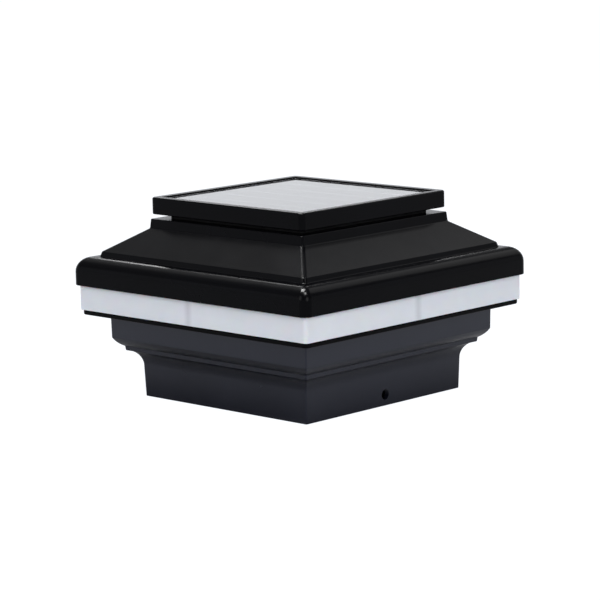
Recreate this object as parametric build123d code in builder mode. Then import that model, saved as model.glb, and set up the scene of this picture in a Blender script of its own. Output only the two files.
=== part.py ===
from build123d import *
import math
import os

# A solar light for a square post: a cap that slips over the post's sleeve, with a
# moulded skirt, a base plate, a glowing band, a pyramid hood and a framed solar panel.
# Millimetres. The origin is the centre of the skirt's bottom edge, +Z is up and the
# sides face X and Y. The side screws run along X.

# ---------------------------------------------------------------- driving dimensions
# Post and the skirt's fit on it
post_sleeve = 101.6  # outside of the square sleeve that the cap slips over
post_clearance = 0.5  # each side, between the sleeve and the skirt's bore
skirt_wall = 2.2
side_screw_radius = 2.5
side_screw_height = 5.4  # centre of the side screw holes above the bottom edge
post_stop_height = 28.0  # how far the sleeve goes in
post_stop_reach = 3.3  # how far a stop reaches over the sleeve's end
stop_spacing = 60.0  # between the two stops of one side
stop_thickness = 2.4
rib_root = 0.5  # how far a rib grows into the wall that carries it

# Heights of the skirt's moulding, from the bottom up, and how far each member stands out
sleeve_height = 14.9
sleeve_draft = 0.5
cove_height = 7.7
cove_reach = 6.0
lip_height = 2.1
lip_draft = 0.3
ovolo_height = 4.3
ovolo_reach = 4.3
ovolo_bulge = 0.5
band_height = 11.6
band_draft = 0.2
skirt_corner = 0.7  # of the ovolo's and the band's mitres
mitre_tolerance = 0.01
cavity_slope = 0.82  # rise over run of the skirt's inside behind the cove
cavity_lift = 0.2  # how much higher the inside turns than the outside
flange_thickness = 2.8
flange_reach = 6.8  # how far the top flange reaches inside the sleeve's outline
seal_groove_depth = 1.0
seal_groove_width = 2.0
seal_groove_inset = 5.1  # from the skirt's top edge to the groove
screw_pad_radius = 4.6
screw_pad_height = 1.2

# Base plate
plate_overhang = 9.7
plate_thickness = 2.4
plate_corner = 3.0
plate_edge = 0.8
locating_lip_height = 2.5
locating_lip_width = 1.4
locating_gap = 0.2  # between the lip and the diffuser

# Diffuser and the light behind it
diffuser_overhang = 0.6  # beyond the base plate's edge
diffuser_shown = 12.0
diffuser_tuck = 3.0  # hidden height inside the hood
diffuser_wall = 2.0
inner_corner = 1.0  # inside corners of the square rings and pockets
diffuser_rib_width = 1.2
diffuser_rib_depth = 1.5
foam_thickness = 1.0  # every flat foam gasket
reflector_gap = 15.1  # from the diffuser's outside to the reflector's
reflector_wall = 1.2
reflector_height = 12.5
reflector_corner = 2.0
strip_thickness = 0.3
strip_width = 8.0
strip_lift = 2.0
led_width = 3.5
led_height = 2.8
led_depth = 1.0
led_spacing = 40.0

# Hood
hood_wall = 1.9
hood_gap = 0.2  # between the diffuser and the hood's inside
hood_corner = 4.2
roll_side = 6.5  # upright part of the hood's side, below its roll
roll_radius = 7.0
shelf_width = 2.2
step_height = 2.3
step_draft = 0.7
slope_angle = 33.13
slope_edge = 2.5  # radius of the pyramid's four corners
neck_height = 4.4
neck_draft = 0.4
deck_thickness = 2.0
hood_ledge_height = 1.6
hood_ledge_reach = 2.7

# Solar panel and its frame
panel_size = 92.0
bezel_width = 4.0
bezel_height = 8.2
bezel_corner = 2.5
bezel_edge = 0.8
shadow_gap = 2.2
foot_inset = 6.0
neck_proud = 0.2  # neck's top beyond the bezel
panel_recess = 0.9
seal_width = 0.4
seal_height = 1.4
cover_thickness = 1.8
cell_thickness = 0.3
backsheet_thickness = 1.2
pad_thickness = 0.8
pad_width = 15.6
cell_margin = 1.6  # from the cover's edge to the cells
cell_count = 6
cell_gap = 0.6
ribbon_width = 0.9
ribbon_gap = 0.1
ribbon_thickness = 0.15

# Screws: radii of shank and head, head height, length under the head
assembly_screw = (1.5, 2.9, 1.9, 22.0)
frame_screw_body = (1.12, 2.2, 1.6)  # its length follows the panel frame's floor
frame_screw_skin = 1.2  # floor left above a frame screw's tip
board_screw = (0.97, 1.9, 1.3, 4.4)
door_screw = (1.1, 2.1, 1.4, 8.5)
screw_clearance = 0.2  # radial, where a screw passes through
thread_clearance = 0.03  # radial, where a screw holds
recess_share = 0.6  # the driver recess, of the shank's radius and the head's height
tip_room = 1.0  # blind hole beyond an assembly screw's tip
assembly_boss_radius = 3.6
assembly_screw_inset = 2.2  # outside the post sleeve's outline
frame_screw_inset = 12.0  # from the bezel's outside

# Battery and its compartment
battery_radius = 7.25
battery_length = 50.5
battery_nub_radius = 2.75
battery_nub_length = 1.3
battery_edge = 0.6
battery_side_gap = 0.4
spring_room = 6.9
contact_thickness = 0.6
contact_width = 8.0
tab_width = 4.0
tab_height = 2.8
tab_slot_gap = 0.1
leaf_thickness = 0.5
leaf_height = 7.0
leaf_nose = 1.6  # flat of the leaf that presses on the battery
leaf_return = 1.2  # how far the leaf's free end stands off its plate
room_wall = 1.6
room_offset = 16.0  # compartment's centre from the cap's centre, along Y
door_thickness = 2.0
door_corner = 2.0
door_gasket_thickness = 0.6
door_gasket_width = 1.4
spigot_height = 1.0
spigot_wall = 1.2
spigot_gap = 0.2
battery_lift = 0.3  # between the battery and the door's inside
lug_radius = 3.4
lug_reach = 3.2  # from the compartment's wall to the lug's centre
lug_boss_radius = 3.0
lug_boss_height = 7.0

# Control board and switch
board_length = 44.0
board_width = 30.0
board_thickness = 1.6
board_offset = -23.0  # board's centre along Y
board_post_height = 4.0
board_post_radius = 2.2
board_post_inset = 3.5
inductor_place = (-12.0, -4.0)  # places on the board, from its centre
inductor_radius = 3.5
inductor_height = 4.5
capacitor_place = (13.0, -7.0)
capacitor_radius = 2.5
capacitor_height = 7.0
chip_place = (9.0, 2.0)
chip_length = 5.0
chip_width = 4.0
chip_height = 1.4
switch_length = 9.0
switch_width = 4.6
switch_offset = -24.0  # switch's centre along Y
knob_length = 3.0
knob_width = 2.0
knob_travel = 3.0
knob_gap = 0.25
knob_root = 1.5  # how deep the knob goes into the switch's body
knob_shown = 1.7  # how far the knob stands out of the plate
knob_groove_radius = 0.25

# Leads
lead_diameter = 1.3
lead_pitch = 3.0
grommet_offset = -20.0  # grommet's centre along Y
grommet_radius = 4.0
grommet_flange_radius = 5.2
grommet_flange = 0.9
grommet_hole_gap = 0.1
lead_room_radius = 6.0  # hole for the leads in the foam and in the frame
led_lead_gap = 0.35  # round a lead, where it passes through the reflector
led_lead_straight = 10.0  # run of the LED leads behind the reflector
panel_lead_straight = 9.0  # run of the panel leads above the board
panel_lead_rise = 23.0  # height above the board where the panel leads reach the grommet
battery_lead_straight = 12.0  # level run of the battery leads from their tabs
battery_lead_drop = 9.0  # upright run of the battery leads down to the board
lead_arch = 6.0  # height of the LED leads' arch over the board
pad_inset = 4.0  # solder pads' distance inside the board's edges and centre
battery_pad_spot = (14.0, 9.0)  # from the board's centre

# ---------------------------------------------------------------- derived dimensions
bore_half = post_sleeve / 2 + post_clearance
sleeve_half = bore_half + skirt_wall
cove_foot_half = sleeve_half + sleeve_draft
lip_half = cove_foot_half + cove_reach
lip_top_half = lip_half + lip_draft
band_half = lip_top_half + ovolo_reach
skirt_top_half = band_half + band_draft
lip_z = sleeve_height + cove_height
ovolo_z = lip_z + lip_height
band_z = ovolo_z + ovolo_height
plate_z = band_z + band_height
flange_z = plate_z - flange_thickness
cavity_half = band_half - skirt_wall
flange_half = post_sleeve / 2 - flange_reach
groove_half = skirt_top_half - seal_groove_inset
groove_z = plate_z - seal_groove_depth
screw_seat = flange_z - screw_pad_height
inside_turn = (lip_half - skirt_wall, ovolo_z + cavity_lift)
inside_shoulder = (cavity_half, inside_turn[1] + cavity_half - inside_turn[0])
bore_top = inside_turn[1] - (inside_turn[0] - bore_half) * cavity_slope
stop_half = post_sleeve / 2 - post_stop_reach

plate_half = skirt_top_half + plate_overhang
plate_top = plate_z + plate_thickness
diffuser_half = plate_half + diffuser_overhang
diffuser_inner = diffuser_half - diffuser_wall
locating_half = diffuser_inner - locating_gap
diffuser_top = plate_top + diffuser_shown + diffuser_tuck
reflector_half = diffuser_half - reflector_gap
strip_half = reflector_half + strip_thickness

hood_half = diffuser_half + hood_gap + hood_wall
cavity_corner = hood_corner - hood_wall
diffuser_corner = cavity_corner - hood_gap
hood_inner = hood_half - hood_wall
hood_z = plate_top + diffuser_shown
shelf_z = hood_z + roll_side + roll_radius
step_half = hood_half - roll_radius - shelf_width
step_top_half = step_half - step_draft
slope_z = shelf_z + step_height
bezel_half = panel_size / 2 + bezel_width
neck_top_half = bezel_half + neck_proud
neck_foot_half = neck_top_half + neck_draft
slope_rise = math.tan(math.radians(slope_angle))
neck_z = slope_z + (step_top_half - neck_foot_half) * slope_rise
deck_z = neck_z + neck_height
under_step_half = step_top_half - hood_wall
under_neck_half = neck_top_half - hood_wall
slope_shift = hood_wall / math.sin(math.radians(slope_angle))
under_step_z = slope_z + (step_top_half - slope_shift - under_step_half) * slope_rise
under_neck_z = under_step_z + (under_step_half - under_neck_half) * slope_rise
ledge_z = diffuser_top + foam_thickness

foot_half = bezel_half - foot_inset
foot_z = deck_z + foam_thickness
bezel_z = deck_z + shadow_gap
bezel_top = bezel_z + bezel_height
pocket_half = panel_size / 2
cover_half = pocket_half - seal_width
cover_top = bezel_top - panel_recess
cover_z = cover_top - cover_thickness
cell_z = cover_z - cell_thickness
backsheet_z = cell_z - backsheet_thickness
pocket_z = backsheet_z - pad_thickness
frame_screw_offset = bezel_half - frame_screw_inset
frame_screw_length = pocket_z - frame_screw_skin - (deck_z - deck_thickness)
frame_screw = (*frame_screw_body, frame_screw_length)
screw_offset = post_sleeve / 2 + assembly_screw_inset

room_length = battery_length + spring_room + contact_thickness
room_width = 2 * (battery_radius + battery_side_gap)
room_centre = (0, room_offset)
room_outer = (room_length + 2 * room_wall, room_width + 2 * room_wall)
door_z = plate_z - door_gasket_thickness - door_thickness
spigot = (room_length - 2 * spigot_gap, room_width - 2 * spigot_gap)
spigot_z = door_z + door_thickness
spigot_rise = door_gasket_thickness + spigot_height
battery_z = door_z + door_thickness + spigot_height + battery_lift + battery_radius
room_roof = battery_z + battery_radius + battery_lift
lug_offset = room_width / 2 + room_wall + lug_reach
battery_end = room_length / 2 - contact_thickness
battery_start = battery_end - battery_length
tab_offset = room_length / 2 - contact_thickness / 2
tab_top = room_roof + room_wall + tab_height

board_z = plate_top + board_post_height
board_top = board_z + board_thickness
grommet_spot = (0, grommet_offset)
lead_spots = [-lead_pitch / 2, lead_pitch / 2]
led_lead_z = plate_top + strip_lift + strip_width / 2
inductor_spot = (inductor_place[0], board_offset + inductor_place[1])
chip_spot = (chip_place[0], board_offset + chip_place[1])
capacitor_spot = (capacitor_place[0], board_offset + capacitor_place[1])
knob_bottom = plate_z - knob_shown
knob_centre = (-knob_travel / 2, switch_offset)
slot_length = knob_length + knob_travel + 2 * knob_gap
slot_width = knob_width + 2 * knob_gap

corners = [(1, 1), (-1, 1), (-1, -1), (1, -1)]
screw_spots = [(screw_offset * x, screw_offset * y) for x, y in corners]
frame_screw_spots = [(frame_screw_offset * x, frame_screw_offset * y) for x, y in corners]
board_spots = [
    (
        x * (board_length / 2 - board_post_inset),
        board_offset + y * (board_width / 2 - board_post_inset),
    )
    for x, y in corners
]
lug_spots = [(0, room_offset - lug_offset), (0, room_offset + lug_offset)]


# ---------------------------------------------------------------- shared shapes
def square(half, corner=0.0, mode=Mode.ADD):
    """A square of that half-width, with rounded corners where a radius is given."""
    if corner > 0:
        RectangleRounded(2 * half, 2 * half, corner, mode=mode)
    else:
        Rectangle(2 * half, 2 * half, mode=mode)


def square_slab(half, corner, base, height, mode=Mode.ADD):
    """A square plate or block standing on the height base."""
    with BuildSketch(Plane.XY.offset(base)) as outline:
        square(half, corner)
    extrude(outline.sketch, amount=height, mode=mode)


def square_ring(outer_half, outer_corner, inner_half, inner_corner, base, height):
    """A square ring standing on the height base."""
    with BuildSketch(Plane.XY.offset(base)) as outline:
        square(outer_half, outer_corner)
        square(inner_half, inner_corner, mode=Mode.SUBTRACT)
    extrude(outline.sketch, amount=height)


def discs(spots, radius, base, height, mode=Mode.ADD):
    """Upright round bosses, holes or shanks at the given spots."""
    with BuildSketch(Plane.XY.offset(base)) as outline:
        with Locations(*spots):
            Circle(radius)
    extrude(outline.sketch, amount=height, mode=mode)


def block(length, width, centre, base, height, mode=Mode.ADD, corner=0.0):
    """A rectangular block standing on the height base."""
    with BuildSketch(Plane.XY.offset(base)) as outline:
        with Locations(centre):
            if corner > 0:
                RectangleRounded(length, width, corner)
            else:
                Rectangle(length, width)
    extrude(outline.sketch, amount=height, mode=mode)


def upward_screws(spots, seat, size):
    """Pan-head screws driven upwards, with their heads under the height seat."""
    shank, head, head_height, length = size
    discs(spots, shank, seat, length)
    discs(spots, head, seat - head_height, head_height)
    recess = head_height * recess_share
    discs(spots, shank * recess_share, seat - head_height, recess, mode=Mode.SUBTRACT)


def side_plane(quarter):
    """Upright plane through the axis, whose X points out of one of the four sides."""
    turn = math.radians(90 * quarter)
    out = (math.cos(turn), math.sin(turn), 0)
    return Plane((0, 0, 0), x_dir=out, z_dir=(math.sin(turn), -math.cos(turn), 0))


def mitred(draw_half, mode=Mode.ADD):
    """A block whose four sides carry one profile and meet in mitred corners.

    draw_half draws the profile's outer line from the bottom up, and returns its ends.
    """
    reach = 2 * hood_half
    bars = []
    for quarter in (0, 1):
        with BuildSketch(side_plane(quarter)) as profile:
            with BuildLine() as outline:
                bottom, top = draw_half()
                Line(top, (0, top[1]))
                Line((0, top[1]), (0, bottom[1]))
                Line((0, bottom[1]), bottom)
            make_face(outline.edges())
            mirror(about=Plane.YZ)
        bars.append(extrude(profile.sketch, amount=reach, both=True, mode=Mode.PRIVATE))
    add(bars[0] & bars[1], mode=mode)


def skirt_outside():
    """Sleeve, cove, lip, ovolo and band, from the bottom up."""
    Line((sleeve_half, 0), (cove_foot_half, sleeve_height))
    EllipticalCenterArc(
        (lip_half, sleeve_height),
        cove_reach,
        cove_height,
        start_angle=90,
        arc_size=90,
    )
    Line((lip_half, lip_z), (lip_top_half, ovolo_z))
    SagittaArc((lip_top_half, ovolo_z), (band_half, band_z), -ovolo_bulge)
    Line((band_half, band_z), (skirt_top_half, plate_z))
    return (sleeve_half, 0), (skirt_top_half, plate_z)


def skirt_inside():
    """The bore, and the cavity above it that follows the moulding."""
    bottom, top = (bore_half, 0), (cavity_half, flange_z)
    Polyline(bottom, (bore_half, bore_top), inside_turn, inside_shoulder, top)
    return bottom, top


def hood_outside():
    """Side, roll, shelf, step, slope and neck, from the bottom up."""
    Line((hood_half, hood_z), (hood_half, hood_z + roll_side))
    TangentArc(
        (hood_half, hood_z + roll_side), (hood_half - roll_radius, shelf_z), tangent=(0, 1)
    )
    Polyline(
        (hood_half - roll_radius, shelf_z),
        (step_half, shelf_z),
        (step_top_half, slope_z),
        (neck_foot_half, neck_z),
        (neck_top_half, deck_z),
    )
    return (hood_half, hood_z), (neck_top_half, deck_z)


def hood_inside():
    """The hood's hollow, one wall inside its side, roll, slope and neck."""
    under_shelf_z = shelf_z - hood_wall
    under_roll = (hood_half - roll_radius, under_shelf_z)
    Line((hood_inner, hood_z), (hood_inner, hood_z + roll_side))
    TangentArc((hood_inner, hood_z + roll_side), under_roll, tangent=(0, 1))
    Polyline(
        under_roll,
        (under_step_half, under_shelf_z),
        (under_step_half, under_step_z),
        (under_neck_half, under_neck_z),
        (under_neck_half, deck_z - deck_thickness),
    )
    return (hood_inner, hood_z), (under_neck_half, deck_z - deck_thickness)


def post_stops():
    """Two ribs on each side: they guide the sleeve and stop its end."""
    for quarter in range(4):
        for side in (-1, 1):
            place = side_plane(quarter).offset(side * stop_spacing / 2)
            with BuildSketch(place) as rib:
                Polygon(
                    (bore_half, bore_top),
                    (inside_turn[0] + rib_root, inside_turn[1]),
                    (cavity_half + rib_root, inside_shoulder[1]),
                    (cavity_half + rib_root, flange_z),
                    (stop_half, flange_z),
                    (stop_half, post_stop_height),
                    (bore_half, post_stop_height),
                    align=None,
                )
            extrude(rib.sketch, amount=stop_thickness / 2, both=True)


def bend_radii(points):
    """The largest tangent arcs that the runs between the points allow."""
    radii = []
    for before, corner, after in zip(points, points[1:], points[2:]):
        run_in = Vector(corner) - Vector(before)
        run_out = Vector(after) - Vector(corner)
        half_turn = math.radians(run_in.get_angle(run_out) / 2)
        radii.append(0.45 * min(run_in.length, run_out.length) / math.tan(half_turn))
    return radii


def lead(points):
    """An insulated lead along straight runs joined by tangent arcs."""
    radii = bend_radii(points)
    print("lead bends", [round(radius, 1) for radius in radii])
    with BuildLine(mode=Mode.PRIVATE) as route:
        FilletPolyline(*points, radius=radii)
    with BuildSketch(Plane(route.line @ 0, z_dir=route.line % 0)) as section:
        Circle(lead_diameter / 2)
    sweep(section.sketch, path=route.line)


# ---------------------------------------------------------------- skirt
with BuildPart() as post_skirt:
    mitred(skirt_outside)
    mitre_edges = post_skirt.edges().filter_by(
        lambda edge: abs(abs(edge.center().X) - abs(edge.center().Y)) < mitre_tolerance
        and edge.center().Z > ovolo_z
        and edge.center().X != 0
    )
    fillet(mitre_edges, skirt_corner)
    mitred(skirt_inside, mode=Mode.SUBTRACT)
    square_slab(flange_half, 0, flange_z, flange_thickness, mode=Mode.SUBTRACT)
    post_stops()
    discs(screw_spots, screw_pad_radius, screw_seat, screw_pad_height)
    discs(
        screw_spots,
        assembly_screw[0] + screw_clearance,
        screw_seat,
        flange_thickness + screw_pad_height,
        mode=Mode.SUBTRACT,
    )
    with BuildSketch(Plane.XY.offset(plate_z)) as groove:
        square(groove_half)
        square(groove_half - seal_groove_width, mode=Mode.SUBTRACT)
    extrude(groove.sketch, amount=-seal_groove_depth, mode=Mode.SUBTRACT)
    with BuildSketch(Plane.YZ) as side_holes:
        with Locations((0, side_screw_height)):
            Circle(side_screw_radius)
    extrude(side_holes.sketch, amount=hood_half, both=True, mode=Mode.SUBTRACT)

with BuildPart() as skirt_gasket:
    square_ring(
        groove_half, 0, groove_half - seal_groove_width, 0, groove_z, seal_groove_depth
    )

# ---------------------------------------------------------------- base plate
with BuildPart() as base_plate:
    square_slab(plate_half, plate_corner, plate_z, plate_thickness)
    plate_edges = base_plate.edges().group_by(Axis.Z)
    fillet(plate_edges[0] + plate_edges[-1], plate_edge)
    square_ring(
        locating_half,
        inner_corner,
        locating_half - locating_lip_width,
        inner_corner,
        plate_top,
        locating_lip_height,
    )
    block(*room_outer, room_centre, plate_top, room_roof + room_wall - plate_top)
    discs(lug_spots, lug_boss_radius, plate_top, lug_boss_height)
    discs(board_spots, board_post_radius, plate_top, board_post_height)
    block(
        room_length,
        room_width,
        room_centre,
        plate_z,
        room_roof - plate_z,
        mode=Mode.SUBTRACT,
    )
    for end in (-1, 1):
        tab_centre = (end * tab_offset, room_offset)
        block(
            contact_thickness + tab_slot_gap,
            tab_width + tab_slot_gap,
            tab_centre,
            room_roof,
            room_wall,
            mode=Mode.SUBTRACT,
        )
    discs(
        lug_spots,
        door_screw[0] + thread_clearance,
        plate_z,
        door_screw[3],
        mode=Mode.SUBTRACT,
    )
    discs(
        board_spots,
        board_screw[0] + thread_clearance,
        plate_top,
        board_post_height,
        mode=Mode.SUBTRACT,
    )
    discs(
        screw_spots,
        assembly_screw[0] + screw_clearance,
        plate_z,
        plate_thickness,
        mode=Mode.SUBTRACT,
    )
    block(
        slot_length,
        slot_width,
        (0, switch_offset),
        plate_z,
        plate_thickness,
        mode=Mode.SUBTRACT,
    )

# ---------------------------------------------------------------- battery door
with BuildPart() as battery_door:
    block(*room_outer, room_centre, door_z, door_thickness, corner=door_corner)
    discs(lug_spots, lug_radius, door_z, door_thickness)
    block(2 * lug_radius, room_outer[1] + 2 * lug_reach, room_centre, door_z, door_thickness)
    block(*spigot, room_centre, spigot_z, spigot_rise)
    block(
        spigot[0] - 2 * spigot_wall,
        spigot[1] - 2 * spigot_wall,
        room_centre,
        spigot_z,
        spigot_rise,
        mode=Mode.SUBTRACT,
    )
    discs(
        lug_spots,
        door_screw[0] + screw_clearance,
        door_z,
        door_thickness,
        mode=Mode.SUBTRACT,
    )

with BuildPart() as door_gasket:
    gasket = (spigot[0] + 2 * door_gasket_width, spigot[1] + 2 * door_gasket_width)
    block(*gasket, room_centre, spigot_z, door_gasket_thickness)
    block(*spigot, room_centre, spigot_z, door_gasket_thickness, mode=Mode.SUBTRACT)

with BuildPart() as door_screws:
    upward_screws(lug_spots, door_z, door_screw)

# ---------------------------------------------------------------- battery
with BuildPart() as battery_cell:
    with BuildSketch(Plane.YZ.offset(battery_start)) as can:
        with Locations((room_offset, battery_z)):
            Circle(battery_radius)
    extrude(can.sketch, amount=battery_length - battery_nub_length)
    fillet(battery_cell.edges(), battery_edge)
    with BuildSketch(Plane.YZ.offset(battery_end - battery_nub_length)) as nub:
        with Locations((room_offset, battery_z)):
            Circle(battery_nub_radius)
    extrude(nub.sketch, amount=battery_nub_length)


def contact(end):
    """A contact plate against one end wall, with its solder tab through the roof."""
    centre = (end * tab_offset, room_offset)
    low = battery_z - contact_width / 2
    block(contact_thickness, contact_width, centre, low, contact_width)
    block(contact_thickness, tab_width, centre, low + contact_width, tab_top - low - contact_width)


with BuildPart() as battery_contact:
    contact(1)

with BuildPart() as battery_spring:
    contact(-1)
    back = -room_length / 2 + contact_thickness
    nose = battery_start - leaf_thickness
    low, high = battery_z - leaf_height / 2, battery_z + leaf_height / 2
    with BuildSketch(Plane.XZ.offset(-room_offset)) as leaf_profile:
        Polygon(
            (back, low),
            (nose, battery_z - leaf_nose / 2),
            (battery_start, battery_z - leaf_nose / 2),
            (battery_start, battery_z + leaf_nose / 2),
            (nose, battery_z + leaf_nose / 2),
            (back + leaf_return, high),
            (back + leaf_return, high - 2 * leaf_thickness),
            (nose - leaf_thickness, battery_z),
            (back, low + 2 * leaf_thickness),
            align=None,
        )
    extrude(leaf_profile.sketch, amount=tab_width / 2, both=True)

# ---------------------------------------------------------------- control board
with BuildPart() as control_board:
    block(board_length, board_width, (0, board_offset), board_z, board_thickness)
    discs(
        board_spots,
        board_screw[0] + screw_clearance,
        board_z,
        board_thickness,
        mode=Mode.SUBTRACT,
    )

with BuildPart() as board_screws:
    shank, head, head_height, length = board_screw
    discs(board_spots, shank, board_top - length, length)
    discs(board_spots, head, board_top, head_height)
    recess = head_height * recess_share
    discs(
        board_spots,
        shank * recess_share,
        board_top + head_height - recess,
        recess,
        mode=Mode.SUBTRACT,
    )

with BuildPart() as board_parts:
    discs([inductor_spot], inductor_radius, board_top, inductor_height)
    block(chip_length, chip_width, chip_spot, board_top, chip_height)
    discs([capacitor_spot], capacitor_radius, board_top, capacitor_height)

with BuildPart() as switch_body:
    block(switch_length, switch_width, (0, switch_offset), plate_top, board_post_height)
    block(
        slot_length,
        slot_width,
        (0, switch_offset),
        plate_top,
        knob_root + knob_gap,
        mode=Mode.SUBTRACT,
    )

with BuildPart() as switch_knob:
    knob_height = plate_top + knob_root - knob_bottom
    block(knob_length, knob_width, knob_centre, knob_bottom, knob_height)
    with BuildSketch(Plane.XZ.offset(-switch_offset)) as grooves:
        with Locations((knob_centre[0], knob_bottom)):
            with GridLocations(4 * knob_groove_radius, 0, 2, 1):
                Circle(knob_groove_radius)
    extrude(grooves.sketch, amount=knob_width, both=True, mode=Mode.SUBTRACT)

# ---------------------------------------------------------------- light
with BuildPart() as diffuser:
    square_ring(
        diffuser_half,
        diffuser_corner,
        diffuser_inner,
        inner_corner,
        plate_top,
        diffuser_top - plate_top,
    )
    rib_base = plate_top + locating_lip_height + locating_gap
    for quarter in range(4):
        with BuildSketch(side_plane(quarter)) as rib:
            Polygon(
                (diffuser_inner - diffuser_rib_depth, rib_base),
                (diffuser_inner + diffuser_wall / 2, rib_base),
                (diffuser_inner + diffuser_wall / 2, diffuser_top),
                (diffuser_inner - diffuser_rib_depth, diffuser_top),
                align=None,
            )
        extrude(rib.sketch, amount=diffuser_rib_width / 2, both=True)

with BuildPart() as diffuser_gasket:
    square_ring(
        diffuser_half - locating_gap,
        diffuser_corner,
        diffuser_inner + locating_gap,
        inner_corner,
        diffuser_top,
        foam_thickness,
    )

with BuildPart() as reflector:
    square_ring(
        reflector_half,
        reflector_corner,
        reflector_half - reflector_wall,
        reflector_corner - reflector_wall,
        plate_top,
        reflector_height,
    )
    with BuildSketch(Plane.XZ) as lead_holes:
        with Locations(*[(x, led_lead_z) for x in lead_spots]):
            Circle(lead_diameter / 2 + led_lead_gap)
    extrude(lead_holes.sketch, amount=reflector_half, mode=Mode.SUBTRACT)

with BuildPart() as led_strip:
    square_ring(
        strip_half,
        reflector_corner + strip_thickness,
        reflector_half,
        reflector_corner,
        plate_top + strip_lift,
        strip_width,
    )

with BuildPart() as led_chips:
    for quarter in range(4):
        with BuildSketch(side_plane(quarter)) as chip:
            Polygon(
                (strip_half, led_lead_z - led_height / 2),
                (strip_half + led_depth, led_lead_z - led_height / 2),
                (strip_half + led_depth, led_lead_z + led_height / 2),
                (strip_half, led_lead_z + led_height / 2),
                align=None,
            )
        for side in (-1, 1):
            place = side_plane(quarter).z_dir * (side * led_spacing / 2)
            chips = chip.sketch.moved(Location(place))
            extrude(chips, amount=led_width / 2, both=True)

# ---------------------------------------------------------------- hood
with BuildPart() as hood_form:
    mitred(hood_outside)
    square_slab(hood_half, hood_corner, hood_z, deck_z - hood_z, mode=Mode.INTERSECT)
    slope_corners = hood_form.edges().filter_by(
        lambda edge: slope_z < edge.center().Z < neck_z
        and abs(abs(edge.center().X) - abs(edge.center().Y)) < mitre_tolerance
    )
    fillet(slope_corners, slope_edge)

with BuildPart() as hood_hollow:
    mitred(hood_inside)
    square_slab(hood_inner, cavity_corner, hood_z, deck_z - hood_z, mode=Mode.INTERSECT)
    discs(screw_spots, assembly_boss_radius, hood_z, deck_z - hood_z, mode=Mode.SUBTRACT)

with BuildPart() as hood:
    add(hood_form.part)
    add(hood_hollow.part, mode=Mode.SUBTRACT)
    discs(screw_spots, assembly_boss_radius, plate_top, hood_z - plate_top + hood_wall)
    square_ring(
        hood_inner + hood_wall / 2,
        cavity_corner,
        hood_inner - hood_ledge_reach,
        inner_corner,
        ledge_z,
        hood_ledge_height,
    )
    discs(
        screw_spots,
        assembly_screw[0] + thread_clearance,
        plate_top,
        screw_seat + assembly_screw[3] + tip_room - plate_top,
        mode=Mode.SUBTRACT,
    )
    discs(
        [grommet_spot],
        grommet_radius,
        deck_z - deck_thickness,
        deck_thickness,
        mode=Mode.SUBTRACT,
    )
    discs(
        frame_screw_spots,
        frame_screw[0] + screw_clearance,
        deck_z - deck_thickness,
        deck_thickness,
        mode=Mode.SUBTRACT,
    )

with BuildPart() as assembly_screws:
    upward_screws(screw_spots, screw_seat, assembly_screw)

# ---------------------------------------------------------------- panel frame
with BuildPart() as panel_frame:
    square_slab(bezel_half, bezel_corner, bezel_z, bezel_height)
    fillet(panel_frame.edges().group_by(Axis.Z)[-1], bezel_edge)
    fillet(panel_frame.edges().group_by(Axis.Z)[0], bezel_edge / 2)
    square_slab(foot_half, bezel_corner, foot_z, bezel_z - foot_z + bezel_edge)
    square_slab(pocket_half, inner_corner, pocket_z, bezel_top - pocket_z, mode=Mode.SUBTRACT)
    discs(
        frame_screw_spots,
        frame_screw[0] + thread_clearance,
        foot_z,
        pocket_z - foot_z - bezel_edge / 2,
        mode=Mode.SUBTRACT,
    )
    discs(
        [grommet_spot],
        lead_room_radius,
        foot_z,
        pocket_z - foot_z,
        mode=Mode.SUBTRACT,
    )

with BuildPart() as frame_gasket:
    square_ring(
        foot_half - locating_gap,
        bezel_corner,
        foot_half - pad_width,
        inner_corner,
        deck_z,
        foam_thickness,
    )
    discs(
        frame_screw_spots,
        frame_screw[0] + screw_clearance,
        deck_z,
        foam_thickness,
        mode=Mode.SUBTRACT,
    )
    discs([grommet_spot], lead_room_radius, deck_z, foam_thickness, mode=Mode.SUBTRACT)

with BuildPart() as frame_screws:
    upward_screws(frame_screw_spots, deck_z - deck_thickness, frame_screw)

with BuildPart() as panel_pad:
    square_ring(
        cover_half,
        inner_corner,
        cover_half - pad_width,
        inner_corner,
        pocket_z,
        pad_thickness,
    )
    discs([grommet_spot], lead_room_radius, pocket_z, pad_thickness, mode=Mode.SUBTRACT)

with BuildPart() as panel_backsheet:
    square_slab(cover_half, inner_corner, backsheet_z, backsheet_thickness)

cells_half = cover_half - cell_margin
ribbon_offset = cells_half + ribbon_gap + ribbon_width / 2
strip_pitch = (2 * cells_half + cell_gap) / cell_count
strip_centres = [(i - (cell_count - 1) / 2) * strip_pitch for i in range(cell_count)]
with BuildPart() as solar_cells:
    for y in strip_centres:
        block(2 * cells_half, strip_pitch - cell_gap, (0, y), cell_z, cell_thickness)

with BuildPart() as cell_ribbons:
    for i in range(cell_count - 1):
        x = ribbon_offset * (1 if i % 2 else -1)
        y = (strip_centres[i] + strip_centres[i + 1]) / 2
        block(ribbon_width, strip_pitch, (x, y), cell_z, ribbon_thickness)

with BuildPart() as panel_cover:
    square_slab(cover_half, inner_corner, cover_z, cover_thickness)

with BuildPart() as panel_seal:
    square_ring(
        pocket_half,
        inner_corner,
        cover_half,
        inner_corner,
        cover_top - seal_height,
        seal_height,
    )

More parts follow.
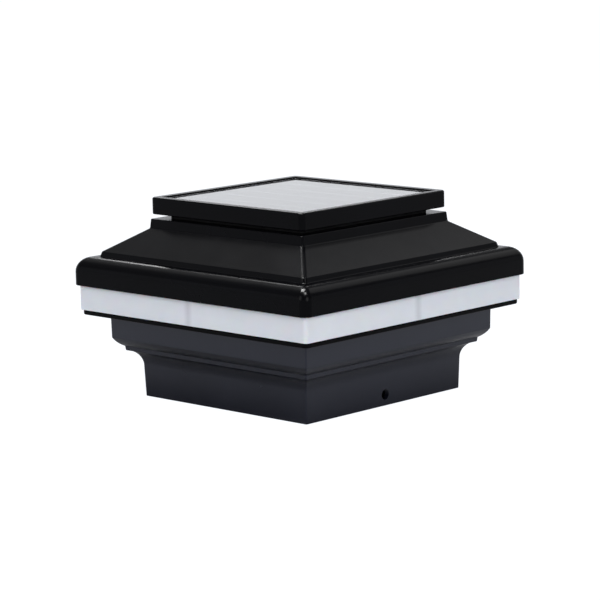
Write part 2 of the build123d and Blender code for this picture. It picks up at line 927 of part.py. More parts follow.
# ---------------------------------------------------------------- leads
with BuildPart() as lead_grommet:
    under_deck = deck_z - deck_thickness
    discs([grommet_spot], grommet_radius, under_deck, deck_thickness)
    discs(
        [grommet_spot],
        grommet_flange_radius,
        under_deck - grommet_flange,
        grommet_flange,
    )
    discs([grommet_spot], grommet_flange_radius, deck_z, grommet_flange)
    discs(
        [(x, grommet_offset) for x in lead_spots],
        lead_diameter / 2 + grommet_hole_gap,
        under_deck - grommet_flange,
        deck_thickness + 2 * grommet_flange,
        mode=Mode.SUBTRACT,
    )

with BuildPart() as panel_leads:
    pad_y = board_offset - pad_inset
    for x in lead_spots:
        lead(
            [
                (x, pad_y, board_top),
                (x, pad_y, board_top + panel_lead_straight),
                (x, grommet_offset, board_top + panel_lead_rise),
                (x, grommet_offset, backsheet_z),
            ]
        )

with BuildPart() as battery_leads:
    tab_side = room_offset - tab_width / 2
    solder_z = tab_top - lead_diameter / 2
    pad_x, pad_shift = battery_pad_spot
    pad_y = board_offset + pad_shift
    for end in (-1, 1):
        lead(
            [
                (end * tab_offset, tab_side, solder_z),
                (end * tab_offset, tab_side - battery_lead_straight, solder_z),
                (end * pad_x, pad_y, board_top + battery_lead_drop),
                (end * pad_x, pad_y, board_top),
            ]
        )

with BuildPart() as led_leads:
    hole_y = -reflector_half
    pad_y = board_offset - board_width / 2 + pad_inset
    bend_y = hole_y + led_lead_straight
    arch_y = (bend_y + pad_y) / 2
    for x in lead_spots:
        lead(
            [
                (x, hole_y, led_lead_z),
                (x, bend_y, led_lead_z),
                (x, arch_y, board_top + lead_arch),
                (x, pad_y, board_top + lead_arch),
                (x, pad_y, board_top),
            ]
        )

# ---------------------------------------------------------------- export
pieces = {
    "post_skirt": post_skirt,
    "skirt_gasket": skirt_gasket,
    "base_plate": base_plate,
    "battery_door": battery_door,
    "door_gasket": door_gasket,
    "door_screws": door_screws,
    "battery_cell": battery_cell,
    "battery_contact": battery_contact,
    "battery_spring": battery_spring,
    "control_board": control_board,
    "board_screws": board_screws,
    "board_parts": board_parts,
    "switch_body": switch_body,
    "switch_knob": switch_knob,
    "diffuser": diffuser,
    "diffuser_gasket": diffuser_gasket,
    "reflector": reflector,
    "led_strip": led_strip,
    "led_chips": led_chips,
    "hood": hood,
    "assembly_screws": assembly_screws,
    "panel_frame": panel_frame,
    "frame_gasket": frame_gasket,
    "frame_screws": frame_screws,
    "panel_pad": panel_pad,
    "panel_backsheet": panel_backsheet,
    "solar_cells": solar_cells,
    "cell_ribbons": cell_ribbons,
    "panel_cover": panel_cover,
    "panel_seal": panel_seal,
    "lead_grommet": lead_grommet,
    "panel_leads": panel_leads,
    "battery_leads": battery_leads,
    "led_leads": led_leads,
}
os.makedirs("parts", exist_ok=True)
for node, piece in pieces.items():
    piece.part.label = node
    export_step(piece.part, f"parts/{node}.step")
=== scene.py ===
"""The looks of a solar post cap light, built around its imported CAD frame.

Metres, in the CAD's own frame. Each piece's place, outer width and height come from
the CAD node that it stands for. The steps and curves of its profile are set here, to
the CAD's own sizes, with small edge radii added. The screw and lead holes,
seal groove, gasket ledge and screw pads of the panel frame, hood and skirt are left
out, and some corners lie up to 1.2 mm from the CAD's.
"""

import math

import bmesh
import bpy
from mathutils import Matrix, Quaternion, Vector


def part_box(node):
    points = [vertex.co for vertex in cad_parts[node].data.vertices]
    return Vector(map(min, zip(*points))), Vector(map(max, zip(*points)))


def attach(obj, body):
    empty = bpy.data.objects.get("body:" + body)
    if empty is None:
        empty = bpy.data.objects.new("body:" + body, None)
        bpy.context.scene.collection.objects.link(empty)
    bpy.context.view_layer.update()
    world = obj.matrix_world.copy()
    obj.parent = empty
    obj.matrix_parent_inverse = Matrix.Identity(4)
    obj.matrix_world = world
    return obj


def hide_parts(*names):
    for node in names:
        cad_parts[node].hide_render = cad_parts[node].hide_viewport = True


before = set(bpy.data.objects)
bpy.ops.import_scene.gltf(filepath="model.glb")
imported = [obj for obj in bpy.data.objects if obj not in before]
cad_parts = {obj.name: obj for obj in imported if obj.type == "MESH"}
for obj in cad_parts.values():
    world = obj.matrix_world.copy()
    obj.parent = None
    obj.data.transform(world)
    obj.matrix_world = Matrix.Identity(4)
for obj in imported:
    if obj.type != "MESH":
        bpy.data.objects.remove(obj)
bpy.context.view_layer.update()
MM = 0.001


# ------------------------------------------------------------------ node helpers
def new_material(name):
    """A material, its node tree and its Principled shader."""
    material = bpy.data.materials.new(name)
    material.use_nodes = True
    tree = material.node_tree
    tree.nodes.clear()
    output = tree.nodes.new("ShaderNodeOutputMaterial")
    shader = tree.nodes.new("ShaderNodeBsdfPrincipled")
    tree.links.new(shader.outputs["BSDF"], output.inputs["Surface"])
    return material, tree, shader


def object_coordinates(tree):
    """Places in the object's own frame, in metres."""
    return tree.nodes.new("ShaderNodeTexCoord").outputs["Object"]


def noise(tree, place, scale, detail=4.0, roughness=0.55):
    """Noise whose features are about 1/scale metres across."""
    node = tree.nodes.new("ShaderNodeTexNoise")
    node.inputs["Scale"].default_value = scale
    node.inputs["Detail"].default_value = detail
    node.inputs["Roughness"].default_value = roughness
    tree.links.new(place, node.inputs["Vector"])
    return node.outputs["Fac"]


def combine(tree, operation, first, second):
    """A Math node of two outputs."""
    node = tree.nodes.new("ShaderNodeMath")
    node.operation = operation
    tree.links.new(first, node.inputs[0])
    tree.links.new(second, node.inputs[1])
    return node.outputs[0]


def sizes_along_sides(tree, place):
    """The absolute X and Y of a place."""
    split = tree.nodes.new("ShaderNodeSeparateXYZ")
    tree.links.new(place, split.inputs["Vector"])
    sizes = []
    for axis in ("X", "Y"):
        size = tree.nodes.new("ShaderNodeMath")
        size.operation = "ABSOLUTE"
        tree.links.new(split.outputs[axis], size.inputs[0])
        sizes.append(size.outputs[0])
    return sizes


def remap(tree, value, low, high, to_low, to_high):
    """A value's range mapped linearly onto another, and held at its ends."""
    node = tree.nodes.new("ShaderNodeMapRange")
    for name, number in (
        ("From Min", low),
        ("From Max", high),
        ("To Min", to_low),
        ("To Max", to_high),
    ):
        node.inputs[name].default_value = number
    tree.links.new(value, node.inputs["Value"])
    return node.outputs["Result"]


def mix_colours(tree, factor, first, second):
    """Mix of two colours by a factor output; each colour is a tuple or an output."""
    node = tree.nodes.new("ShaderNodeMix")
    node.data_type = "RGBA"
    tree.links.new(factor, node.inputs["Factor"])
    for socket, colour in ((node.inputs[6], first), (node.inputs[7], second)):
        if isinstance(colour, tuple):
            socket.default_value = (*colour, 1.0)
        else:
            tree.links.new(colour, socket)
    return node.outputs[2]


def bump(tree, shader, height, distance):
    """Fine relief, as deep as the distance, from a height output."""
    node = tree.nodes.new("ShaderNodeBump")
    node.inputs["Distance"].default_value = distance
    tree.links.new(height, node.inputs["Height"])
    tree.links.new(node.outputs["Normal"], shader.inputs["Normal"])


def moulded(
    name,
    colour,
    tint,
    roughness,
    specular,
    grain,
    grain_depth,
    spread=0.06,
    sheen=(1.0, 1.0, 1.0),
):
    """Moulded plastic: faint colour drift, uneven gloss and a fine surface grain."""
    material, tree, shader = new_material(name)
    place = object_coordinates(tree)
    drift = remap(tree, noise(tree, place, 28.0), 0.35, 0.65, 0.0, 1.0)
    tree.links.new(mix_colours(tree, drift, colour, tint), shader.inputs["Base Color"])
    handling = noise(tree, place, 60.0, detail=6.0, roughness=0.7)
    gloss = remap(tree, handling, 0.3, 0.7, roughness - spread, roughness + spread)
    tree.links.new(gloss, shader.inputs["Roughness"])
    shader.inputs["Specular IOR Level"].default_value = specular
    shader.inputs["Specular Tint"].default_value = (*sheen, 1.0)
    bump(tree, shader, noise(tree, place, grain, detail=2.0), grain_depth)
    return material


# ------------------------------------------------------------------ mesh helpers
def arc_points(before, corner, after, radius, steps):
    """The corner of a profile rounded by a tangent arc, as steps + 1 points."""
    into, away = (corner - before).normalized(), (after - corner).normalized()
    turn = into.angle(away)
    if radius <= 0 or turn < 1e-3:
        return [corner]
    reach = radius * math.tan(turn / 2)
    side = 1 if into.x * away.y - into.y * away.x > 0 else -1
    start = corner - into * reach
    centre = start + Vector((-into.y, into.x)) * (radius * side)
    spoke = start - centre
    points = []
    for i in range(steps + 1):
        angle = side * turn * i / steps
        cos, sin = math.cos(angle), math.sin(angle)
        points.append(
            centre + Vector((spoke.x * cos - spoke.y * sin, spoke.x * sin + spoke.y * cos))
        )
    return points


def rounded_profile(points, closed=False, steps=5):
    """(half width, height, edge radius) corners as a dense list of profile points."""
    flat = [Vector(point[:2]) for point in points]
    count = len(flat)
    dense = []
    for i, (corner, point) in enumerate(zip(flat, points)):
        radius = point[2] if len(point) > 2 else 0.0
        if not closed and i in (0, count - 1):
            dense.append(corner)
            continue
        dense += arc_points(flat[i - 1], corner, flat[(i + 1) % count], radius, steps)
    return dense


def square_outline(half, corner, height, steps):
    """Points round a square with rounded corners, anticlockwise from the +X+Y corner."""
    corner = min(corner, half * 0.98)
    points = []
    for quarter in range(4):
        middle = math.pi / 4 + quarter * math.pi / 2
        reach = (half - corner) * math.sqrt(2)
        centre = Vector((math.cos(middle), math.sin(middle))) * reach
        for i in range(steps + 1):
            angle = quarter * math.pi / 2 + math.pi / 2 * i / steps
            points.append(
                (
                    centre.x + corner * math.cos(angle),
                    centre.y + corner * math.sin(angle),
                    height,
                )
            )
    return points


def mesh_object(name, bm, material, node=None):
    """Finishes a bmesh as a smooth piece of the root body, which may stand for a CAD node."""
    bmesh.ops.recalc_face_normals(bm, faces=bm.faces)
    mesh = bpy.data.meshes.new(name)
    bm.to_mesh(mesh)
    bm.free()
    mesh.materials.append(material)
    mesh.shade_smooth()
    piece = bpy.data.objects.new(name, mesh)
    bpy.context.scene.collection.objects.link(piece)
    weighted = piece.modifiers.new("weighted", "WEIGHTED_NORMAL")
    weighted.weight = 100
    weighted.keep_sharp = True
    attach(piece, "root")
    if node:
        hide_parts(node)
    return piece


def square_loft(name, profile, corner, material, node, closed=False, steps=6):
    """A square moulding: one profile carried round four sides with rounded mitres.

    corner is a radius, or a function that gives it from the half width and height.
    """
    bm = bmesh.new()
    rings = []
    for half, height in profile:
        radius = corner(half, height) if callable(corner) else corner
        outline = square_outline(half, radius, height, steps)
        rings.append([bm.verts.new(point) for point in outline])
    pairs = list(zip(rings, rings[1:]))
    if closed:
        pairs.append((rings[-1], rings[0]))
    for lower, upper in pairs:
        for i in range(len(lower)):
            j = (i + 1) % len(lower)
            bm.faces.new((lower[i], lower[j], upper[j], upper[i]))
    if not closed:
        bm.faces.new(rings[0])
        bm.faces.new(rings[-1])
    return mesh_object(name, bm, material, node)


# ------------------------------------------------------------------ materials
black_gloss = moulded(
    "hood_black",
    (0.0013, 0.0013, 0.0019),
    (0.0018, 0.0019, 0.0028),
    0.19,
    0.04,
    420.0,
    4e-6,
    spread=0.02,
)
slate = moulded(
    "skirt_slate",
    (0.0045, 0.0052, 0.0105),
    (0.006, 0.0068, 0.013),
    0.33,
    0.38,
    900.0,
    4e-6,
    sheen=(0.83, 0.86, 1.0),
)
black_satin = moulded(
    "plate_black", (0.0015, 0.0015, 0.002), (0.0025, 0.0025, 0.003), 0.34, 0.03, 900.0, 1e-5
)
white_plastic = moulded(
    "white_plastic", (0.8, 0.8, 0.8), (0.84, 0.84, 0.83), 0.4, 0.4, 900.0, 6e-6
)
dark_part = moulded(
    "component_black", (0.02, 0.02, 0.022), (0.03, 0.03, 0.03), 0.5, 0.4, 1500.0, 1e-5
)
rubber = moulded("rubber", (0.015, 0.015, 0.015), (0.022, 0.022, 0.022), 0.7, 0.3, 1200.0, 2e-5)
foam = moulded("foam", (0.02, 0.02, 0.021), (0.035, 0.035, 0.036), 0.9, 0.2, 2500.0, 8e-5)
insulation = moulded("insulation", (0.45, 0.02, 0.02), (0.5, 0.03, 0.03), 0.4, 0.4, 900.0, 5e-6)
sleeve = moulded("battery_sleeve", (0.03, 0.16, 0.07), (0.04, 0.2, 0.09), 0.3, 0.5, 300.0, 5e-6)
backsheet = moulded("backsheet", (0.06, 0.06, 0.07), (0.07, 0.07, 0.08), 0.5, 0.4, 900.0, 5e-6)
circuit = moulded("circuit_board", (0.01, 0.09, 0.035), (0.015, 0.12, 0.05), 0.35, 0.5, 700.0, 8e-6)
phosphor = moulded("led_phosphor", (0.85, 0.72, 0.25), (0.9, 0.78, 0.3), 0.35, 0.5, 2000.0, 5e-6)


def metal(name, colour, roughness):
    """Plated metal: fine patches, uneven polish and a fine grain."""
    material, tree, shader = new_material(name)
    place = object_coordinates(tree)
    patches = noise(tree, place, 900.0)
    darker = tuple(0.75 * c for c in colour)
    tree.links.new(mix_colours(tree, patches, darker, colour), shader.inputs["Base Color"])
    shader.inputs["Metallic"].default_value = 1.0
    polish = remap(tree, noise(tree, place, 2500.0), 0.3, 0.7, roughness - 0.08, roughness + 0.1)
    tree.links.new(polish, shader.inputs["Roughness"])
    bump(tree, shader, noise(tree, place, 4000.0), 5e-6)
    return material


zinc = metal("zinc_plate", (0.72, 0.72, 0.74), 0.32)
nickel = metal("nickel_plate", (0.78, 0.74, 0.68), 0.25)


def frosted_diffuser(rib_half):
    """Frosted white plastic, with the soft shade of the rib behind each side's middle painted into
    its colour.
    """
    material, tree, shader = new_material("diffuser_white")
    place = object_coordinates(tree)
    nearest = combine(tree, "MINIMUM", *sizes_along_sides(tree, place))
    # painted shade: the colour darkens towards the middle of each side, where the rib behind the
    # wall would shade it
    rib = remap(tree, nearest, rib_half * 0.6, rib_half * 5.0, 0.34, 0.0)
    cloud = remap(tree, noise(tree, place, 40.0), 0.3, 0.7, 0.0, 1.0)
    body = mix_colours(tree, cloud, (0.79, 0.81, 0.88), (0.83, 0.85, 0.92))
    shade = mix_colours(tree, rib, body, (0.42, 0.43, 0.5))
    tree.links.new(shade, shader.inputs["Base Color"])
    shader.inputs["Roughness"].default_value = 0.42
    shader.inputs["Specular IOR Level"].default_value = 0.4
    shader.inputs["Subsurface Weight"].default_value = 0.25
    shader.inputs["Subsurface Scale"].default_value = 0.004
    bump(tree, shader, noise(tree, place, 1500.0, detail=2.0), 6e-6)
    return material


def silicon():
    """Dark blue cells with fine grid fingers along X."""
    material, tree, shader = new_material("solar_silicon")
    place = object_coordinates(tree)
    wave = tree.nodes.new("ShaderNodeTexWave")
    wave.bands_direction = "Y"
    wave.inputs["Scale"].default_value = 110.0
    wave.inputs["Distortion"].default_value = 0.0
    tree.links.new(place, wave.inputs["Vector"])
    fingers = remap(tree, wave.outputs["Fac"], 0.9, 0.98, 0.0, 0.8)
    grains = mix_colours(
        tree, noise(tree, place, 120.0, detail=1.0), (0.012, 0.014, 0.035), (0.02, 0.024, 0.055)
    )
    lined = mix_colours(tree, fingers, grains, (0.5, 0.51, 0.55))
    tree.links.new(lined, shader.inputs["Base Color"])
    shader.inputs["Roughness"].default_value = 0.3
    shader.inputs["Metallic"].default_value = 0.2
    bump(tree, shader, wave.outputs["Fac"], 1e-5)
    return material


def clear_cover():
    """Clear resin cover: see-through from above, mirror-like at a low angle."""
    material, tree, shader = new_material("panel_resin")
    place = object_coordinates(tree)
    shader.inputs["Base Color"].default_value = (0.93, 0.94, 0.97, 1.0)
    shader.inputs["Transmission Weight"].default_value = 1.0
    shader.inputs["IOR"].default_value = 1.5
    smear = remap(tree, noise(tree, place, 35.0, detail=6.0), 0.3, 0.7, 0.03, 0.09)
    tree.links.new(smear, shader.inputs["Roughness"])
    shader.inputs["Specular Tint"].default_value = (0.9, 0.91, 1.0, 1.0)
    shader.inputs["Coat Weight"].default_value = 0.5
    shader.inputs["Coat IOR"].default_value = 1.6
    shader.inputs["Coat Roughness"].default_value = 0.04
    bump(tree, shader, noise(tree, place, 25.0, detail=1.0), 1e-5)
    return material


cells_blue = silicon()
resin = clear_cover()


# ------------------------------------------------------------------ the CAD's sizes
def side_directions():
    """The outward and sideways directions of the four sides."""
    for quarter in range(4):
        angle = quarter * math.pi / 2
        out = Vector((math.cos(angle), math.sin(angle), 0))
        yield out, Vector((-out.y, out.x, 0))


def half_of(node):
    """Half the width of a square node along X."""
    low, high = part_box(node)
    return (high.x - low.x) / 2


def heights_of(node):
    """The lowest and highest Z of a node."""
    low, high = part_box(node)
    return low.z, high.z


# ------------------------------------------------------------------ panel and frame
def build_panel_frame():
    """Black bezel tray on its foot, open on top for the panel."""
    half = half_of("panel_frame")
    foot, top = heights_of("panel_frame")
    pocket_half = half_of("panel_seal")
    pocket_floor = heights_of("panel_pad")[0]
    foot_half = half_of("frame_gasket") + 0.2 * MM
    underside = heights_of("hood")[1] + 2.2 * MM
    profile = rounded_profile(
        [
            (foot_half * 0.5, foot),
            (foot_half, foot, 0.2 * MM),
            (foot_half, underside, 0.2 * MM),
            (half, underside, 0.5 * MM),
            (half, top, 0.9 * MM),
            (pocket_half, top, 0.45 * MM),
            (pocket_half, pocket_floor, 0.2 * MM),
            (pocket_half * 0.5, pocket_floor),
        ]
    )

    def corner(at_half, height):
        return max(0.4 * MM, 2.5 * MM - (half - at_half) * 0.5)

    square_loft("panel_frame_bezel", profile, corner, black_gloss, "panel_frame", steps=8)


def build_panel_cover():
    """Clear slab with softened edges."""
    half = half_of("panel_cover")
    low, top = heights_of("panel_cover")
    profile = rounded_profile(
        [(half * 0.5, low), (half, low, 0.1 * MM), (half, top, 0.25 * MM), (half * 0.5, top)]
    )
    square_loft("panel_cover_resin", profile, 1.0 * MM, resin, "panel_cover")


def build_cells():
    """Six cell strips with rounded edges."""
    low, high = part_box("solar_cells")
    count, gap, edge = 6, 0.9 * MM, 0.06 * MM
    pitch = (high.y - low.y + gap) / count
    bm = bmesh.new()
    for i in range(count):
        y = low.y + i * pitch
        made = bmesh.ops.create_cube(bm, size=1.0)["verts"]
        for vert in made:
            vert.co.x *= high.x - low.x
            vert.co.y = y + (vert.co.y + 0.5) * (pitch - gap)
            vert.co.z = low.z + (vert.co.z + 0.5) * (high.z - low.z)
    bmesh.ops.bevel(bm, geom=bm.edges[:], offset=edge, segments=2, affect="EDGES")
    mesh_object("solar_cell_strips", bm, cells_blue, node="solar_cells")


# ------------------------------------------------------------------ hood
def build_hood():
    """Rolled edge, step, pyramid slope and neck, as one shell, and its screw bosses."""
    half = half_of("hood")
    low, deck = heights_of("hood")
    edge = low + 12.0 * MM
    wall, roll, side_corner = 1.9 * MM, 7.0 * MM, 4.2 * MM
    shelf, step, neck_z = edge + 13.5 * MM, edge + 15.8 * MM, deck - 4.4 * MM
    step_half = half - 9.2 * MM
    step_top = step_half - 0.7 * MM
    neck_half = half_of("panel_frame") + 0.2 * MM
    neck_foot = neck_half + 0.4 * MM
    inner_neck = neck_half - wall
    under_shelf, under_deck = shelf - wall, deck - 2.0 * MM
    slope = (neck_z - step) / (step_top - neck_foot)
    drop = wall * math.sqrt(1 + slope * slope)
    under_step = step + wall * slope - drop
    under_neck = neck_z + (neck_foot - inner_neck) * slope - drop
    profile = rounded_profile(
        [
            (inner_neck * 0.5, deck),
            (neck_half, deck, 0.45 * MM),
            (neck_foot, neck_z, 0.8 * MM),
            (step_top, step, 0.5 * MM),
            (step_half, shelf, 0.35 * MM),
            (half, shelf, roll),
            (half, edge, 0.45 * MM),
            (half - wall, edge, 0.3 * MM),
            (half - wall, under_shelf, roll - wall),
            (step_top - wall, under_shelf, 0.3 * MM),
            (step_top - wall, under_step, 0.3 * MM),
            (inner_neck, under_neck, 0.3 * MM),
            (inner_neck, under_deck, 0.3 * MM),
            (inner_neck * 0.5, under_deck),
        ],
        steps=8,
    )

    def corner(at_half, height):
        if height < shelf + 0.01 * MM and at_half > step_half + 0.2 * MM:
            return max(1.0 * MM, side_corner - (half - at_half) * 0.5)
        if height < neck_z - 0.1 * MM:
            return 1.8 * MM
        return 1.0 * MM

    square_loft("hood_shell", profile, corner, black_gloss, "hood", steps=10)
    build_hood_bosses(low, shelf + 5.0 * MM)


def build_hood_bosses(low, top):
    """The four posts that the assembly screws go into."""
    screw_head, radius = 2.9 * MM, 3.6 * MM
    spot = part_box("assembly_screws")[1].x - screw_head
    bm = bmesh.new()
    for x in (-spot, spot):
        for y in (-spot, spot):
            boss = bmesh.ops.create_cone(
                bm, cap_ends=True, segments=32, radius1=radius, radius2=radius, depth=top - low
            )
            bmesh.ops.translate(bm, verts=boss["verts"], vec=(x, y, (top + low) / 2))
    mesh_object("hood_bosses", bm, black_gloss)


# ------------------------------------------------------------------ diffuser
def build_diffuser():
    """White band, open above and below, with a rib behind the middle of each side."""
    half = half_of("diffuser")
    low, top = heights_of("diffuser")
    wall, rib_half = 2.0 * MM, 0.6 * MM
    inner = half - wall
    material = frosted_diffuser(rib_half)
    profile = rounded_profile(
        [
            (half, low, 0.35 * MM),
            (half, top, 0.2 * MM),
            (inner, top, 0.2 * MM),
            (inner, low, 0.2 * MM),
        ],
        closed=True,
    )

    def corner(at_half, height):
        return max(1.0 * MM, 2.1 * MM - (half - at_half))

    square_loft("diffuser_band", profile, corner, material, "diffuser", closed=True, steps=8)
    rib_depth, rib_foot = 1.5 * MM, low + 2.7 * MM
    bm = bmesh.new()
    for out, along in side_directions():
        for vert in bmesh.ops.create_cube(bm, size=1.0)["verts"]:
            place = out * (inner - rib_depth / 2 + vert.co.x * rib_depth)
            place += along * (vert.co.y * 2 * rib_half)
            place.z = (rib_foot + top) / 2 + vert.co.z * (top - rib_foot)
            vert.co = place
    bmesh.ops.bevel(bm, geom=bm.edges[:], offset=0.15 * MM, segments=2, affect="EDGES")
    mesh_object("diffuser_ribs", bm, material)


# ------------------------------------------------------------------ skirt
SKIRT_WALL = 2.2 * MM
SKIRT_LEAN = 0.82  # rise over run of the sloping face between bore and cavity


def build_skirt():
    """Sleeve, cove, lip, ovolo and band outside; bore, cavity and flange inside."""
    half = half_of("post_skirt")
    low, top = heights_of("post_skirt")
    band = half - 0.2 * MM
    lip_top = band - 4.3 * MM
    lip = lip_top - 0.3 * MM
    cove_width, cove_height = 6.0 * MM, 7.7 * MM
    sleeve_half = lip - cove_width - 0.5 * MM
    bore = sleeve_half - SKIRT_WALL
    cavity = band - SKIRT_WALL
    cove_z, lip_z, ovolo_z, band_z = (
        low + 14.9 * MM,
        low + 22.6 * MM,
        low + 24.7 * MM,
        low + 29.0 * MM,
    )
    flange_z = top - 2.8 * MM
    flange_half = 44.0 * MM
    turn = (lip - SKIRT_WALL, ovolo_z + 0.2 * MM)
    cove_arc, cove_steps = [], 14
    for i in range(cove_steps):
        angle = math.pi / 2 * i / cove_steps
        cove_arc.append(
            (lip - cove_width * math.cos(angle), cove_z + cove_height * math.sin(angle))
        )
    ovolo_arc, ovolo_steps, ovolo_bulge = [], 8, 0.5 * MM
    for i in range(1, ovolo_steps):
        share = i / ovolo_steps
        bulge = ovolo_bulge * 4 * share * (1 - share) / math.sqrt(2)
        ovolo_arc.append(
            (
                lip_top + (band - lip_top) * share + bulge,
                ovolo_z + (band_z - ovolo_z) * share - bulge,
            )
        )
    outline = (
        [(sleeve_half, low, 0.35 * MM)]
        + cove_arc
        + [(lip, lip_z, 0.3 * MM), (lip_top, ovolo_z, 0.15 * MM)]
        + ovolo_arc
        + [(band, band_z, 0.3 * MM), (half, top, 0.3 * MM)]
        + [(flange_half, top, 0.3 * MM), (flange_half, flange_z, 0.3 * MM)]
        + [(cavity, flange_z, 0.3 * MM), (cavity, turn[1] + cavity - turn[0], 0.3 * MM)]
        + [turn, (bore, turn[1] - (turn[0] - bore) * SKIRT_LEAN, 0.3 * MM), (bore, low, 0.3 * MM)]
    )
    profile = rounded_profile(outline, closed=True, steps=4)
    skirt = square_loft(
        "skirt_shell", profile, 0.8 * MM, slate, "post_skirt", closed=True, steps=5
    )
    hole_height, hole_radius = low + 5.4 * MM, 2.5 * MM
    drill_side_holes(skirt, half, hole_height, hole_radius)
    build_post_stops(bore, cavity, turn, flange_z, low)


def drill_side_holes(skirt, half, height, radius):
    """The two screw holes, one in each X side, cut by one long cylinder."""
    bm = bmesh.new()
    made = bmesh.ops.create_cone(
        bm, cap_ends=True, segments=48, radius1=radius, radius2=radius, depth=4 * half
    )["verts"]
    for vert in made:
        x, y, z = vert.co
        vert.co = (z, x, y + height)
    mesh = bpy.data.meshes.new("hole_cutter")
    bm.to_mesh(mesh)
    bm.free()
    cutter = bpy.data.objects.new("hole_cutter", mesh)
    bpy.context.scene.collection.objects.link(cutter)
    drill = skirt.modifiers.new("drill", "BOOLEAN")
    drill.operation = "DIFFERENCE"
    drill.solver = "EXACT"
    drill.object = cutter
    skirt.modifiers.move(skirt.modifiers.find("drill"), 0)
    bpy.context.view_layer.update()
    deps = bpy.context.evaluated_depsgraph_get()
    skirt.modifiers["weighted"].show_viewport = False
    drilled = bpy.data.meshes.new_from_object(skirt.evaluated_get(deps))
    skirt.modifiers.remove(skirt.modifiers["drill"])
    skirt.modifiers["weighted"].show_viewport = True
    skirt.data = drilled
    bpy.data.objects.remove(cutter)


def build_post_stops(bore, cavity, turn, flange_z, low):
    """Eight ribs that guide the post sleeve and stop its end."""
    stop_half = 47.5 * MM
    stop_z = low + 28.0 * MM
    from_middle, thickness = 30 * MM, 2.4 * MM
    outline = [
        (bore, turn[1] - (turn[0] - bore) * SKIRT_LEAN),
        (turn[0] + 0.4 * MM, turn[1]),
        (cavity + 0.4 * MM, turn[1] + cavity - turn[0]),
        (cavity + 0.4 * MM, flange_z + 0.2 * MM),
        (stop_half, flange_z + 0.2 * MM),
        (stop_half, stop_z),
        (bore, stop_z),
    ]
    bm = bmesh.new()
    for out, along in side_directions():
        for side in (-1, 1):
            sides = []
            for face in (-0.5, 0.5):
                shift = along * (side * from_middle + face * thickness)
                sides.append(
                    [bm.verts.new(out * r + shift + Vector((0, 0, z))) for r, z in outline]
                )
            first, second = sides
            bm.faces.new(first)
            bm.faces.new(second)
            for i in range(len(outline)):
                j = (i + 1) % len(outline)
                bm.faces.new((first[i], first[j], second[j], second[i]))
    bmesh.ops.bevel(bm, geom=bm.edges[:], offset=0.2 * MM, segments=2, affect="EDGES")
    mesh_object("post_stops", bm, slate)


# ------------------------------------------------------------------ carried-over nodes
def finish_cad_nodes():
    """Materials for the CAD nodes whose shape stays."""
    finishes = {
        "base_plate": black_satin,
        "battery_door": black_satin,
        "skirt_gasket": foam,
        "door_gasket": foam,
        "diffuser_gasket": foam,
        "frame_gasket": foam,
        "panel_pad": foam,
        "panel_seal": rubber,
        "lead_grommet": rubber,
        "door_screws": zinc,
        "board_screws": zinc,
        "assembly_screws": zinc,
        "frame_screws": zinc,
        "battery_contact": nickel,
        "battery_spring": nickel,
        "cell_ribbons": nickel,
        "battery_cell": sleeve,
        "control_board": circuit,
        "panel_backsheet": backsheet,
        "board_parts": dark_part,
        "switch_body": dark_part,
        "switch_knob": white_plastic,
        "reflector": white_plastic,
        "led_strip": white_plastic,
        "led_chips": phosphor,
        "panel_leads": insulation,
        "battery_leads": insulation,
        "led_leads": insulation,
    }
    for node, material in finishes.items():
        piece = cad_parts[node]
        piece.data.materials.clear()
        piece.data.materials.append(material)


# ------------------------------------------------------------------ stage
UNDER_SKIRT_INSET = 14 * MM  # from the skirt's widest edge in to the floor that it covers
EDGE_SHADOW = 3 * MM  # how fast the floor turns white there, to the camera and through glass
GLOSSY_SHADOW = 165 * MM  # the same in reflections, where the object's shadow spreads
SHADOW_CENTRE = (-22 * MM, -22 * MM, 0)  # that shadow falls to the -X -Y side


def share_seen_white(tree, outside):
    """How white each kind of ray sees the backdrop: none under the object, then more.

    Camera and transmission rays see it white from the skirt on. Glossy rays see it
    darker near the object, where its shadow lies.
    """
    path = tree.nodes.new("ShaderNodeLightPath").outputs
    direct = combine(tree, "MAXIMUM", path["Is Camera Ray"], path["Is Transmission Ray"])
    seen = combine(tree, "MULTIPLY", direct, shadowed_share(tree, outside, EDGE_SHADOW))
    glossy = shadowed_share(tree, outside, GLOSSY_SHADOW, SHADOW_CENTRE)
    mirrored = combine(tree, "MULTIPLY", path["Is Glossy Ray"], glossy)
    return combine(tree, "MAXIMUM", seen, mirrored)


def shadowed_share(tree, outside, reach, centre=(0, 0, 0)):
    """0 under the object, where no light comes in, and up to the given share outside it."""
    place = tree.nodes.new("ShaderNodeVectorMath")
    place.operation = "SUBTRACT"
    place.inputs[1].default_value = centre
    tree.links.new(object_coordinates(tree), place.inputs[0])
    furthest = combine(tree, "MAXIMUM", *sizes_along_sides(tree, place.outputs["Vector"]))
    skirt = half_of("post_skirt") - UNDER_SKIRT_INSET
    return remap(tree, furthest, skirt, skirt + reach, 0.0, outside)


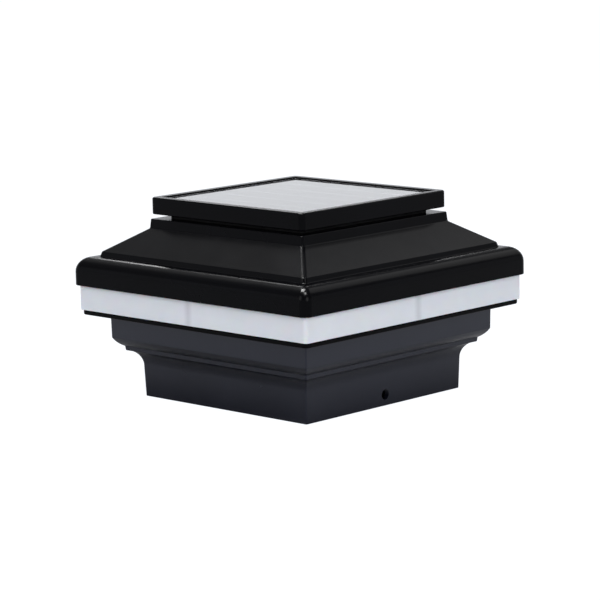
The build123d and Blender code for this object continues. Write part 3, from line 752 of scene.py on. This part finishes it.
def build_studio():
    """A pale floor that curves up into a low backdrop all round.

    The camera and glass see it as white, and so do reflections away from the object. All
    other light sees a grey floor, which keeps the object's shadow.
    """
    radius, cove, height = 6.0, 0.8, 2.4
    outline = [(0.0, 0.0), (1.0, 0.0), (radius - cove, 0.0)]
    for i in range(1, 13):
        angle = math.pi / 2 * i / 12
        outline.append(
            (radius - cove + cove * math.sin(angle), cove - cove * math.cos(angle))
        )
    outline.append((radius, height))
    bm = bmesh.new()
    points = [bm.verts.new((reach, 0, z)) for reach, z in outline]
    edges = [bm.edges.new(pair) for pair in zip(points, points[1:])]
    bmesh.ops.spin(
        bm,
        geom=points + edges,
        axis=(0, 0, 1),
        cent=(0, 0, 0),
        angle=2 * math.pi,
        steps=96,
        use_merge=True,
    )
    bmesh.ops.remove_doubles(bm, verts=bm.verts, dist=1e-5)
    bmesh.ops.recalc_face_normals(bm, faces=bm.faces)
    mesh = bpy.data.meshes.new("studio")
    bm.to_mesh(mesh)
    bm.free()
    mesh.shade_smooth()
    studio = bpy.data.objects.new("studio", mesh)
    bpy.context.scene.collection.objects.link(studio)
    material = bpy.data.materials.new("studio_white")
    material.use_nodes = True
    tree = material.node_tree
    tree.nodes.clear()
    output = tree.nodes.new("ShaderNodeOutputMaterial")
    lit = tree.nodes.new("ShaderNodeBsdfDiffuse")
    lit.inputs["Color"].default_value = (0.5, 0.5, 0.5, 1.0)
    glow = tree.nodes.new("ShaderNodeEmission")
    glow.inputs["Color"].default_value = (0.94, 0.96, 1.0, 1.0)
    glow.inputs["Strength"].default_value = 1.2
    mix = tree.nodes.new("ShaderNodeMixShader")
    tree.links.new(share_seen_white(tree, 0.88), mix.inputs["Fac"])
    tree.links.new(lit.outputs["BSDF"], mix.inputs[1])
    tree.links.new(glow.outputs["Emission"], mix.inputs[2])
    tree.links.new(mix.outputs["Shader"], output.inputs["Surface"])
    studio.data.materials.append(material)


def build_world():
    """Dim even light from above the backdrop."""
    world = bpy.data.worlds.new("studio")
    bpy.context.scene.world = world
    world.use_nodes = True
    background = world.node_tree.nodes["Background"]
    background.inputs["Color"].default_value = (0.97, 0.98, 1.0, 1.0)
    background.inputs["Strength"].default_value = 0.4


def softbox(name, place, target, size, power, diffuse=True, glossy=True):
    """A rectangular lamp aimed at a target, seen by the kinds of ray that are asked for."""
    light = bpy.data.lights.new(name, "AREA")
    light.shape = "RECTANGLE"
    light.size, light.size_y = size
    light.energy = power
    lamp = bpy.data.objects.new(name, light)
    lamp.location = place
    lamp.rotation_mode = "QUATERNION"
    lamp.rotation_quaternion = (Vector(target) - Vector(place)).to_track_quat("-Z", "Y")
    lamp.visible_camera = False
    lamp.visible_diffuse = lamp.visible_transmission = diffuse
    lamp.visible_glossy = glossy
    bpy.context.scene.collection.objects.link(lamp)


def build_camera():
    """Corner-on and a little above, with a long lens."""
    azimuth, elevation, roll = math.radians(43.9), math.radians(9.65), math.radians(1.25)
    distance, focal = 1.31, 163.7
    left = Vector((-math.cos(azimuth), -math.sin(azimuth), 0))
    aim = Vector((0, 0, 44.9 * MM)) + left * 0.33 * MM
    back = Vector(
        (
            math.sin(azimuth) * math.cos(elevation),
            -math.cos(azimuth) * math.cos(elevation),
            math.sin(elevation),
        )
    )
    data = bpy.data.cameras.new("camera")
    data.lens = focal
    data.sensor_width = 36.0
    data.clip_start, data.clip_end = 0.05, 50.0
    camera = bpy.data.objects.new("camera", data)
    camera.location = aim + back * distance
    camera.rotation_mode = "QUATERNION"
    upright = (-back).to_track_quat("-Z", "Y")
    camera.rotation_quaternion = Quaternion(back, -roll) @ upright
    bpy.context.scene.collection.objects.link(camera)
    bpy.context.scene.camera = camera


build_panel_frame()
build_panel_cover()
build_cells()
build_hood()
build_diffuser()
build_skirt()
finish_cad_nodes()
build_studio()
build_world()
HOOD = (0, 0, 0.07)  # where the lamps aim
softbox("overhead", (0.02, 0.0, 1.25), HOOD, (0.62, 0.62), 7.5, glossy=False)
softbox("back_high", (0.25, 1.1, 0.95), HOOD, (0.8, 0.7), 3.2)
softbox("back_left", (-1.1, 0.2, 0.95), HOOD, (0.7, 0.5), 0.5)
softbox("right", (1.3, -0.5, 0.7), HOOD, (0.7, 0.7), 9.5)
softbox("left", (-0.5, -1.3, 0.7), HOOD, (0.7, 0.7), 6.3)
softbox("glint_large", (-0.36, -0.08, 1.2), HOOD, (0.5, 0.54), 72.0, diffuse=False)
softbox("glint_small", (0.3, -0.25, 1.15), HOOD, (0.34, 0.34), 26.0, diffuse=False)
softbox("streak", (-0.8, 0.77, 0.8), HOOD, (0.6, 0.4), 7.0, diffuse=False)
build_camera()
bpy.context.scene.view_settings.view_transform = "Standard"
